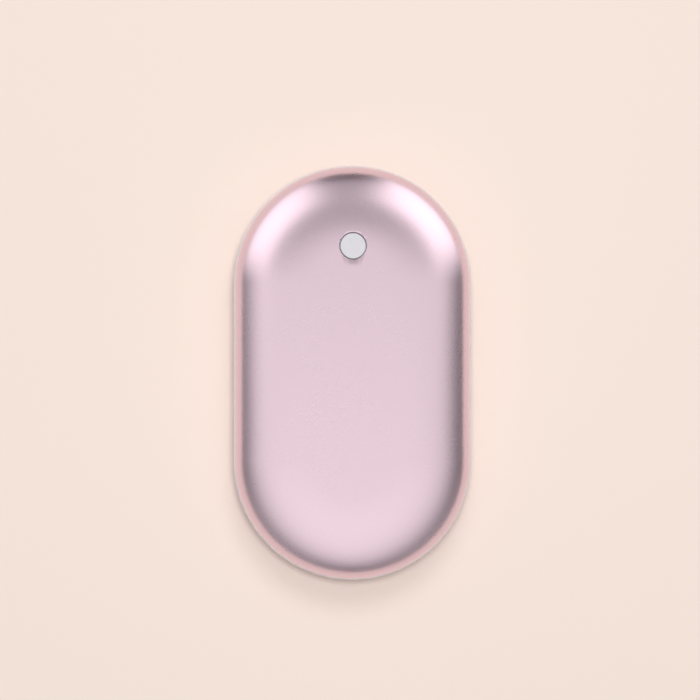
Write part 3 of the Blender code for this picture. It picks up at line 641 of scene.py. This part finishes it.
def new_group(name, inputs, outputs):
    """A shader node group with named sockets, and its input and output nodes."""
    tree = bpy.data.node_groups.new(name, "ShaderNodeTree")
    for socket, kind, default in inputs:
        made = tree.interface.new_socket(name=socket, in_out="INPUT", socket_type=kind)
        if default is not None:
            made.default_value = default
    for socket, kind in outputs:
        tree.interface.new_socket(name=socket, in_out="OUTPUT", socket_type=kind)
    entry = tree.nodes.new("NodeGroupInput")
    entry.location = (-800, 0)
    leave = tree.nodes.new("NodeGroupOutput")
    leave.location = (600, 0)
    return tree, entry, leave


def feed(tree, values, sockets):
    """Give each socket its number or its link."""
    for value, socket in zip(values, sockets):
        if isinstance(value, (int, float)):
            socket.default_value = value
        else:
            tree.links.new(value, socket)


def calculate(tree, operation, at, *values):
    """A Math node on sockets or numbers."""
    made = add_node(tree, "ShaderNodeMath", at, operation=operation)
    feed(tree, values, made.inputs)
    return made.outputs[0]


def mix_levels(tree, mask, first, second, at):
    """A level that goes from one to another with a mask."""
    made = add_node(tree, "ShaderNodeMix", at, data_type="FLOAT")
    feed(tree, (mask, first, second), (made.inputs[0], made.inputs[2], made.inputs[3]))
    return made.outputs[0]


def smooth_step(tree, value, low, high, at, shape="SMOOTHSTEP"):
    """A step of a value between two levels, soft unless another shape is named."""
    made = add_node(tree, "ShaderNodeMapRange", at, interpolation_type=shape)
    feed(tree, (value, low, high), (made.inputs["Value"], made.inputs["From Min"], made.inputs["From Max"]))
    return made.outputs["Result"]


def blasted_grain():
    """Group: fine pits of a bead-blasted or moulded surface. Puts out a height and a mask."""
    if "blasted grain" in bpy.data.node_groups:
        return bpy.data.node_groups["blasted grain"]
    tree, entry, leave = new_group(
        "blasted grain",
        [("Vector", "NodeSocketVector", None), ("Scale", "NodeSocketFloat", 3500.0)],
        [("Height", "NodeSocketFloat"), ("Mask", "NodeSocketFloat")],
    )
    fine = add_node(tree, "ShaderNodeTexNoise", (-500, 120), Detail=1.5, Roughness=0.5)
    coarse = add_node(tree, "ShaderNodeTexNoise", (-500, -180), Detail=1.0, Roughness=0.5)
    lower = calculate(tree, "MULTIPLY", (-650, -220), entry.outputs["Scale"], 0.42)
    for noise, scale in ((fine, entry.outputs["Scale"]), (coarse, lower)):
        feed(tree, (entry.outputs["Vector"], scale), (noise.inputs["Vector"], noise.inputs["Scale"]))
    height = mix_levels(tree, 0.35, fine.outputs["Fac"], coarse.outputs["Fac"], (-200, 60))
    mask = smooth_step(tree, height, 0.32, 0.68, (50, -120), "LINEAR")
    feed(tree, (height, mask), (leave.inputs["Height"], leave.inputs["Mask"]))
    return tree


def handling():
    """Group: broad, faint patches where hands have been. Puts out a mask."""
    if "handling" in bpy.data.node_groups:
        return bpy.data.node_groups["handling"]
    tree, entry, leave = new_group(
        "handling",
        [("Vector", "NodeSocketVector", None), ("Scale", "NodeSocketFloat", 60.0)],
        [("Mask", "NodeSocketFloat")],
    )
    cloud = add_node(tree, "ShaderNodeTexNoise", (-400, 0), Detail=4.0, Roughness=0.55, Distortion=0.6)
    tree.links.new(entry.outputs["Vector"], cloud.inputs["Vector"])
    tree.links.new(entry.outputs["Scale"], cloud.inputs["Scale"])
    tree.links.new(smooth_step(tree, cloud.outputs["Fac"], 0.35, 0.7, (0, 0)), leave.inputs["Mask"])
    return tree


def empty_material(name):
    """A material with an empty tree: a new one, or the one of that name, cleared."""
    made = bpy.data.materials.get(name) or bpy.data.materials.new(name)
    made.use_nodes = True
    made.node_tree.nodes.clear()
    return made, made.node_tree


def new_finish(name, base, roughness, metallic=0.0):
    """A material with its tree, its Principled shader and its object coordinates."""
    made, tree = empty_material(name)
    made.diffuse_color = (*base, 1)
    shader = add_node(tree, "ShaderNodeBsdfPrincipled", (400, 0), Roughness=roughness, Metallic=metallic)
    shader.inputs["Base Color"].default_value = (*base, 1)
    leave = add_node(tree, "ShaderNodeOutputMaterial", (750, 0))
    tree.links.new(shader.outputs[0], leave.inputs["Surface"])
    place = add_node(tree, "ShaderNodeTexCoord", (-1100, 0))
    return made, tree, shader, place.outputs["Object"]


def use_group(tree, group, at, vector, scale):
    """Place a shared effect in a material's tree with its own scale."""
    made = add_node(tree, "ShaderNodeGroup", at, node_tree=group)
    made.inputs["Scale"].default_value = scale
    tree.links.new(vector, made.inputs["Vector"])
    return made.outputs


def pits(tree, vector, scale):
    """Height and mask of the blasted grain at a scale."""
    made = use_group(tree, blasted_grain(), (-800, -150), vector, scale)
    return made["Height"], made["Mask"]


def marks(tree, vector, scale):
    """Mask of the handling marks at a scale."""
    return use_group(tree, handling(), (-800, 200), vector, scale)["Mask"]


def blend_colours(tree, mask, first, second, target):
    """Drive a colour socket from one colour to another with a mask."""
    mix = add_node(tree, "ShaderNodeMix", (-300, 200), data_type="RGBA")
    mix.inputs[6].default_value = (*first, 1)
    mix.inputs[7].default_value = (*second, 1)
    tree.links.new(mask, mix.inputs[0])
    tree.links.new(mix.outputs[2], target)


def set_surface(tree, shader, colours, roughness, bump=None):
    """Drive a shader's colour and roughness by (mask, first, second), and bump it by (height, strength, distance)."""
    blend_colours(tree, *colours, shader.inputs["Base Color"])
    mask, low, high = roughness
    ramp = add_node(tree, "ShaderNodeMapRange", (-300, -50))
    feed(tree, (mask, low, high), (ramp.inputs["Value"], ramp.inputs["To Min"], ramp.inputs["To Max"]))
    tree.links.new(ramp.outputs["Result"], shader.inputs["Roughness"])
    if bump:
        height, strength, distance = bump
        raised = add_node(tree, "ShaderNodeBump", (0, -300), Strength=strength, Distance=distance)
        tree.links.new(height, raised.inputs["Height"])
        tree.links.new(raised.outputs["Normal"], shader.inputs["Normal"])


def scatter(shader, weight, radius, depth):
    """Let light into a plastic."""
    shader.inputs["Subsurface Weight"].default_value = weight
    shader.inputs["Subsurface Radius"].default_value = radius
    shader.inputs["Subsurface Scale"].default_value = depth


def tint(base, factor):
    """A colour made lighter or darker."""
    return tuple(min(1, part * factor) for part in base)


def rose_aluminium(finishes):
    """Rose-pink anodised aluminium over a fine bead-blasted grain."""
    base = tuple(finishes.shell_colour)
    made, tree, shader, place = new_finish("rose aluminium", base, finishes.shell_roughness, 1.0)
    height, mask = pits(tree, place, 1 / finishes.grain_size)
    level = calculate(tree, "MULTIPLY_ADD", (-550, 100), marks(tree, place, 45), 0.35, mask)
    low = finishes.shell_roughness - 0.01
    set_surface(
        tree, shader, (mask, tint(base, 0.994), tint(base, 1.006)), (level, low, low + 0.02),
        (height, finishes.grain_depth, 0.02 * MM),
    )
    return made


def white_moulding(finishes):
    """Smooth white moulded plastic with the faint skin of its mould."""
    base = tuple(finishes.band_colour)
    made, tree, shader, place = new_finish("white moulding", base, 0.38)
    height, mask = pits(tree, place, 2500)
    colours = (marks(tree, place, 90), base, tint(base, 0.975))
    set_surface(tree, shader, colours, (mask, 0.34, 0.44), (height, 0.15, 0.01 * MM))
    scatter(shader, 0.15, (1, 0.9, 0.85), 0.6 * MM)
    return made


def frosted_button(finishes):
    """Frosted translucent white of the push button."""
    base = tuple(finishes.button_colour)
    made, tree, shader, place = new_finish("frosted button", base, 0.5)
    height, mask = pits(tree, place, 4000)
    colours = (marks(tree, place, 300), base, tint(base, 0.97))
    set_surface(tree, shader, colours, (mask, 0.44, 0.58), (height, 0.25, 0.01 * MM))
    scatter(shader, 0.4, (1, 1, 1), 0.8 * MM)
    return made


def plain_moulding(name, base, roughness):
    """A moulded plastic part of one colour, with a fine skin."""
    made, tree, shader, place = new_finish(name, base, roughness)
    height, mask = pits(tree, place, 3000)
    colours = (mask, tint(base, 0.9), tint(base, 1.15))
    set_surface(tree, shader, colours, (mask, roughness - 0.06, roughness + 0.08), (height, 0.3, 0.01 * MM))
    return made


def sheet_metal(name, base, roughness, stretch):
    """Rolled or plated metal with fine lines along one direction."""
    made, tree, shader, place = new_finish(name, base, roughness, 1.0)
    lines = add_node(tree, "ShaderNodeMapping", (-950, -150), Scale=stretch)
    tree.links.new(place, lines.inputs["Vector"])
    height, mask = pits(tree, lines.outputs["Vector"], 1200)
    colours = (marks(tree, place, 200), base, tint(base, 0.88))
    set_surface(tree, shader, colours, (mask, roughness - 0.07, roughness + 0.1), (height, 0.2, 0.01 * MM))
    return made


def plated_steel():
    """Nickel-plated steel sheet."""
    return sheet_metal("plated steel", (0.6, 0.6, 0.62), 0.28, (1, 0.08, 1))


def stripes(tree, vector, axis, pitch, width_share, at):
    """A mask of stripes across one axis, each a share of the pitch wide."""
    split = add_node(tree, "ShaderNodeSeparateXYZ", at)
    tree.links.new(vector, split.inputs[0])
    wave = calculate(tree, "PINGPONG", (at[0] + 180, at[1]), split.outputs[axis], pitch / 2)
    return calculate(tree, "LESS_THAN", (at[0] + 360, at[1]), wave, pitch / 2 * width_share)


def heating_film():
    """Amber film with the etched heating track running to and fro inside it."""
    made, tree, shader, place = new_finish("heating film", (0.55, 0.22, 0.05), 0.32)
    track = stripes(tree, place, 1, 2.4 * MM, 0.62, (-1000, 250))
    colours = (track, (0.62, 0.27, 0.06), (0.5, 0.17, 0.035))
    set_surface(tree, shader, colours, (marks(tree, place, 150), 0.26, 0.4), (track, 0.3, 0.03 * MM))
    return made


def circuit_board():
    """Green solder mask over its copper tracks."""
    made, tree, shader, place = new_finish("circuit board", (0.02, 0.18, 0.07), 0.35)
    along = stripes(tree, place, 0, 1.3 * MM, 0.35, (-1000, 350))
    across = stripes(tree, place, 1, 1.9 * MM, 0.3, (-1000, 100))
    patches = add_node(tree, "ShaderNodeTexVoronoi", (-900, -200), feature="F1", Scale=260.0)
    tree.links.new(place, patches.inputs["Vector"])
    split = add_node(tree, "ShaderNodeSeparateColor", (-720, -200))
    tree.links.new(patches.outputs["Color"], split.inputs[0])
    pick = calculate(tree, "GREATER_THAN", (-560, -200), split.outputs[0], 0.5)
    track = mix_levels(tree, pick, along, across, (-420, 200))
    colours = (track, (0.012, 0.13, 0.05), (0.03, 0.24, 0.1))
    set_surface(tree, shader, colours, (track, 0.42, 0.3), (track, 0.4, 0.035 * MM))
    return made


def foam_pad():
    """Dark open-celled foam, with painted shade darkening the pits of its cells."""
    made, tree, shader, place = new_finish("foam", (0.1, 0.1, 0.105), 0.95)
    cells = add_node(tree, "ShaderNodeTexVoronoi", (-800, 0), feature="F1", Scale=2200.0)
    tree.links.new(place, cells.inputs["Vector"])
    depth = cells.outputs["Distance"]
    # The colour darkens towards the middle of each cell, where the bump makes its pit: painted shade in the pores.
    colours = (depth, (0.03, 0.03, 0.032), (0.17, 0.17, 0.175))
    set_surface(tree, shader, colours, (depth, 0.85, 1.0), (depth, 0.8, 0.2 * MM))
    return made


def pouch_foil():
    """Silver laminate of the pouch cells, with the soft creases of a packed foil."""
    made, tree, shader, place = new_finish("pouch foil", (0.62, 0.63, 0.65), 0.35, 0.85)
    creases = add_node(
        tree, "ShaderNodeTexNoise", (-800, 0), noise_type="RIDGED_MULTIFRACTAL", Scale=70.0, Detail=4.0, Roughness=0.4
    )
    tree.links.new(place, creases.inputs["Vector"])
    hands = marks(tree, place, 120)
    colours = (hands, (0.66, 0.67, 0.69), (0.56, 0.57, 0.6))
    set_surface(tree, shader, colours, (hands, 0.3, 0.45), (creases.outputs["Fac"], 0.25, 0.2 * MM))
    return made


def tape_sheet():
    """Yellowish double-sided tape with a few trapped bubbles."""
    made, tree, shader, place = new_finish("tape", (0.75, 0.72, 0.6), 0.55)
    hands = marks(tree, place, 220)
    colours = (hands, (0.78, 0.75, 0.64), (0.68, 0.64, 0.5))
    set_surface(tree, shader, colours, (hands, 0.4, 0.62), (hands, 0.3, 0.05 * MM))
    return made


def lamp_body():
    """Clear yellowish body of a small lamp, with its phosphor showing."""
    made, tree, shader, place = new_finish("lamp body", (0.95, 0.9, 0.7), 0.25)
    hands = marks(tree, place, 1500)
    set_surface(tree, shader, (hands, (0.96, 0.93, 0.78), (0.9, 0.78, 0.3)), (hands, 0.2, 0.35))
    return made


def four(name):
    """Names of the four CAD nodes of a kind."""
    return [f"{name}_{number}" for number in range(1, 5)]


class HAND_WARMER_OT_inner_finishes(bpy.types.Operator):
    """Give the pieces inside the case their finishes"""

    bl_idname = "hand_warmer.inner_finishes"
    bl_label = "Inner finishes"

    def execute(self, context):
        finishes = context.scene.hand_warmer_finishes
        dress(white_moulding(finishes), "front_liner", "rear_liner", "usb_a_tongue")
        dress(frosted_button(finishes), "switch_plunger")
        dress(heating_film(), "front_heater", "rear_heater")
        dress(foam_pad(), "front_foam", "rear_foam")
        dress(pouch_foil(), "cell_front", "cell_rear")
        dress(tape_sheet(), "cell_tape")
        dress(circuit_board(), "main_board", "protection_board")
        dress(plated_steel(), *four("case_screw"), "board_screw_1", "board_screw_2")
        dress(sheet_metal("capacitor can", (0.72, 0.73, 0.75), 0.3, (1, 1, 0.1)), "capacitor_1", "capacitor_2")
        dress(sheet_metal("gold contact", (0.9, 0.68, 0.3), 0.22, (1, 0.1, 1)), *four("usb_a_contact"))
        dress(plain_moulding("ferrite", (0.08, 0.08, 0.085), 0.6), "boost_inductor")
        dress(
            plain_moulding("black moulding", (0.03, 0.03, 0.035), 0.48),
            "protection_chip", "switch_body", "control_chip", "charge_chip", "mosfet_1", "mosfet_2", "usb_c_tongue",
        )
        dress(plain_moulding("black insulation", (0.025, 0.025, 0.028), 0.4), "battery_lead_black", "thermistor_lead")
        dress(
            plain_moulding("red insulation", (0.6, 0.02, 0.02), 0.42),
            "battery_lead_red", "front_heater_lead_1", "front_heater_lead_2",
            "rear_heater_lead_1", "rear_heater_lead_2",
        )
        dress(lamp_body(), *four("led"))
        dress(plain_moulding("probe epoxy", (0.15, 0.1, 0.05), 0.35), "thermistor")
        return {"FINISHED"}


def tent_light():
    """Light that bright metal mirrors: a pale roof, a grey back wall, two soft panels and a dark skirt.

    It varies with the direction from the middle of the button end's arc. Its levels and angles were fitted by
    trial to the reflections in the photograph.
    """
    side_shades = (-0.39, -0.28, -0.05)
    skirt_level, skirt_front, skirt_corner, skirt_left = 0.17, 0.1, 0.25, 0.05
    roof_levels = (1.1, 1.13)
    wall_levels = (0.09, 0.385)
    left_panel = (0.75, 1.6)
    right_panel = (1.1, 1.72)
    panel_start = (math.radians(12), math.radians(29))
    panel_end = (math.radians(90), math.radians(67))
    panel_top = (math.cos(math.radians(22)), math.cos(math.radians(36)))
    made, tree = empty_material("studio tent")
    place = add_node(tree, "ShaderNodeTexCoord", (-2000, 0))
    rise = add_node(tree, "ShaderNodeVectorMath", (-1800, 0), operation="SUBTRACT")
    rise.inputs[1].default_value = (0, ARC_CENTRE, MID + RIM)
    tree.links.new(place.outputs["Object"], rise.inputs[0])
    way = add_node(tree, "ShaderNodeVectorMath", (-1600, 0), operation="NORMALIZE")
    tree.links.new(rise.outputs[0], way.inputs[0])
    split = add_node(tree, "ShaderNodeSeparateXYZ", (-1400, 0))
    tree.links.new(way.outputs[0], split.inputs[0])
    across, back, up = split.outputs
    front = calculate(tree, "MAXIMUM", (-1200, 300), calculate(tree, "MULTIPLY", (-1350, 300), back, -1), 0)
    right = calculate(tree, "MAXIMUM", (-1200, 450), across, 0)
    left = calculate(tree, "MAXIMUM", (-1200, 600), calculate(tree, "MULTIPLY", (-1350, 600), across, -1), 0)
    contrast = calculate(tree, "MULTIPLY_ADD", (-1050, 300), front, 0.3, 1)
    lifted = calculate(tree, "SUBTRACT", (-1050, 150), up, 0.5)
    lifted = calculate(tree, "MULTIPLY_ADD", (-900, 300), lifted, contrast, 0.5)
    lifted = calculate(tree, "MULTIPLY_ADD", (-750, 300), right, side_shades[0], lifted)
    lifted = calculate(tree, "MULTIPLY_ADD", (-750, 450), left, side_shades[1], lifted)
    lifted = calculate(tree, "MULTIPLY_ADD", (-750, 600), front, side_shades[2], lifted)
    side = calculate(tree, "ABSOLUTE", (-1200, -250), across)
    corner = calculate(tree, "MULTIPLY_ADD", (-1050, 650), side, skirt_corner, skirt_front)
    skirt = calculate(tree, "MULTIPLY_ADD", (-900, 500), front, corner, skirt_level)
    skirt = calculate(tree, "MULTIPLY_ADD", (-900, 800), left, skirt_left, skirt)
    glow = mix_levels(tree, smooth_step(tree, back, 0.12, -0.07, (-900, 650)), *roof_levels, (-700, 650))
    roof = mix_levels(tree, smooth_step(tree, lifted, 0, 1, (-600, 300)), skirt, glow, (-450, 300))
    wall = mix_levels(tree, smooth_step(tree, up, 0.3, 0.54, (-850, 100)), *wall_levels, (-650, 100))
    behind = smooth_step(tree, back, 0.045, 0.19, (-850, -50))
    level = mix_levels(tree, behind, roof, wall, (-300, 200))
    turn = calculate(tree, "ARCTAN2", (-1050, -250), side, back)
    to_right = smooth_step(tree, across, -0.1, 0.1, (-1050, -850))
    turn_in = calculate(tree, "MULTIPLY_ADD", (-1050, -400), to_right, math.radians(3), turn)
    turn_out = calculate(tree, "MULTIPLY_ADD", (-1050, -550), to_right, math.radians(4), turn)
    inner = smooth_step(tree, turn_in, *panel_start, (-850, -200))
    outer = smooth_step(tree, turn_out, *panel_end, (-850, -350))
    high = smooth_step(tree, up, *panel_top, (-850, -500))
    panel = calculate(tree, "MULTIPLY", (-650, -300), calculate(tree, "MULTIPLY", (-750, -300), inner, outer), high)
    low = smooth_step(tree, up, -0.3, 0.45, (-850, -650))
    left_shine = mix_levels(tree, low, *left_panel, (-650, -600))
    right_shine = mix_levels(tree, low, *right_panel, (-650, -750))
    shine = mix_levels(tree, to_right, left_shine, right_shine, (-450, -600))
    total = mix_levels(tree, panel, level, shine, (-150, 0))
    light = add_node(tree, "ShaderNodeEmission", (50, 0))
    tree.links.new(total, light.inputs["Strength"])
    leave = add_node(tree, "ShaderNodeOutputMaterial", (250, 0))
    tree.links.new(light.outputs[0], leave.inputs["Surface"])
    return made


def floor_finish(studio):
    """Plain pale board."""
    base = tuple(studio.floor_colour)
    made, tree, shader, place = new_finish("pale floor", base, 0.9)
    blend_colours(tree, marks(tree, place, 6), base, tint(base, 0.995), shader.inputs["Base Color"])
    shader.inputs["Specular IOR Level"].default_value = 0.1
    return made


def set_world(studio):
    """Even light from all round: plain on the object, and bright where a camera, metal or glass looks at it."""
    world = bpy.data.worlds.new("studio")
    bpy.context.scene.world = world
    world.use_nodes = True
    tree = world.node_tree
    background = tree.nodes["Background"]
    background.inputs["Color"].default_value = (1, 0.985, 0.97, 1)
    path = add_node(tree, "ShaderNodeLightPath", (-800, 0))
    seen = calculate(tree, "MAXIMUM", (-600, 100), path.outputs["Is Camera Ray"], path.outputs["Is Glossy Ray"])
    seen = calculate(tree, "MAXIMUM", (-450, 50), seen, path.outputs["Is Transmission Ray"])
    level = mix_levels(tree, seen, studio.world_level, 1.0, (-250, 0))
    tree.links.new(level, background.inputs["Strength"])


class HAND_WARMER_OT_studio(bpy.types.Operator):
    """Set up the floor, the lamps, the hemisphere that metal mirrors, and the camera"""

    bl_idname = "hand_warmer.studio"
    bl_label = "Studio"

    def execute(self, context):
        studio = context.scene.hand_warmer_studio
        leave_edit()
        bpy.ops.mesh.primitive_plane_add(size=FLOOR_SIZE, location=(0, 0, 0))
        floor = named("floor")
        floor.data.materials.append(floor_finish(studio))

        bpy.ops.mesh.primitive_uv_sphere_add(segments=48, ring_count=24, radius=TENT_RADIUS, location=(0, 0, 0))
        tent = named("studio_tent")
        edit(tent)
        bpy.ops.mesh.select_all(action="SELECT")
        bpy.ops.mesh.bisect(plane_co=(0, 0, 0), plane_no=(0, 0, 1), clear_inner=True)
        leave_edit()
        tent.data.materials.append(tent_light())
        tent.visible_camera = False
        tent.visible_diffuse = False
        tent.visible_shadow = False
        tent.visible_transmission = False

        for name, (place, size), power in (
            ("top_lamp", TOP_LAMP, studio.top_power),
            ("back_lamp", BACK_LAMP, studio.back_power),
        ):
            bpy.ops.object.light_add(type="AREA", location=place)
            lamp = named(name)
            lamp.data.shape = "DISK"
            lamp.data.size = size
            lamp.data.energy = power
            lamp.rotation_euler = (-Vector(place)).to_track_quat("-Z", "Y").to_euler()
            lamp.visible_glossy = False
            lamp.visible_camera = False
        set_world(studio)

        aim = Vector(PICTURE_MIDDLE) * MM
        toward = Vector((-math.tan(studio.lean_across), -math.tan(studio.lean_along), 1)).normalized()
        right = Vector((0, 1, 0)).cross(toward).normalized()
        above = toward.cross(right)
        turn = Matrix((right, above, toward)).transposed()
        bpy.ops.object.camera_add(location=aim + toward * studio.camera_distance, rotation=turn.to_euler())
        camera = named("camera")
        camera.data.lens = studio.lens
        camera.data.sensor_width = 36
        camera.data.clip_end = 50
        context.scene.camera = camera
        context.scene.view_settings.view_transform = "Standard"
        return {"FINISHED"}


class HAND_WARMER_PT_panel(bpy.types.Panel):
    """The hand warmer's pieces, in the order in which they are made"""

    bl_idname = "HAND_WARMER_PT_panel"
    bl_label = "Hand warmer"
    bl_space_type = "VIEW_3D"
    bl_region_type = "UI"
    bl_category = "Hand warmer"

    def draw(self, context):
        column = self.layout.column(align=True)
        for operator in OPERATORS:
            column.operator(operator.bl_idname)


OPERATORS = (
    HAND_WARMER_OT_studio,
    HAND_WARMER_OT_cases,
    HAND_WARMER_OT_band,
    HAND_WARMER_OT_button,
    HAND_WARMER_OT_sockets,
    HAND_WARMER_OT_inner_finishes,
)

SETTINGS = {
    "hand_warmer_case": CaseSizes,
    "hand_warmer_band": BandSizes,
    "hand_warmer_button": ButtonSizes,
    "hand_warmer_sockets": SocketSizes,
    "hand_warmer_finishes": Finishes,
    "hand_warmer_studio": Studio,
}


def register():
    for made in (*SETTINGS.values(), *OPERATORS, HAND_WARMER_PT_panel):
        bpy.utils.register_class(made)
    for name, group in SETTINGS.items():
        setattr(bpy.types.Scene, name, bpy.props.PointerProperty(type=group))


def unregister():
    for name in SETTINGS:
        delattr(bpy.types.Scene, name)
    for made in (HAND_WARMER_PT_panel, *reversed(OPERATORS), *reversed(SETTINGS.values())):
        bpy.utils.unregister_class(made)


def main():
    """Make the hand warmer and its studio."""
    register()
    bpy.ops.hand_warmer.studio()
    bpy.ops.hand_warmer.cases()
    bpy.ops.hand_warmer.band()
    bpy.ops.hand_warmer.button()
    bpy.ops.hand_warmer.sockets()
    bpy.ops.hand_warmer.inner_finishes()


if __name__ == "__main__":
    main()
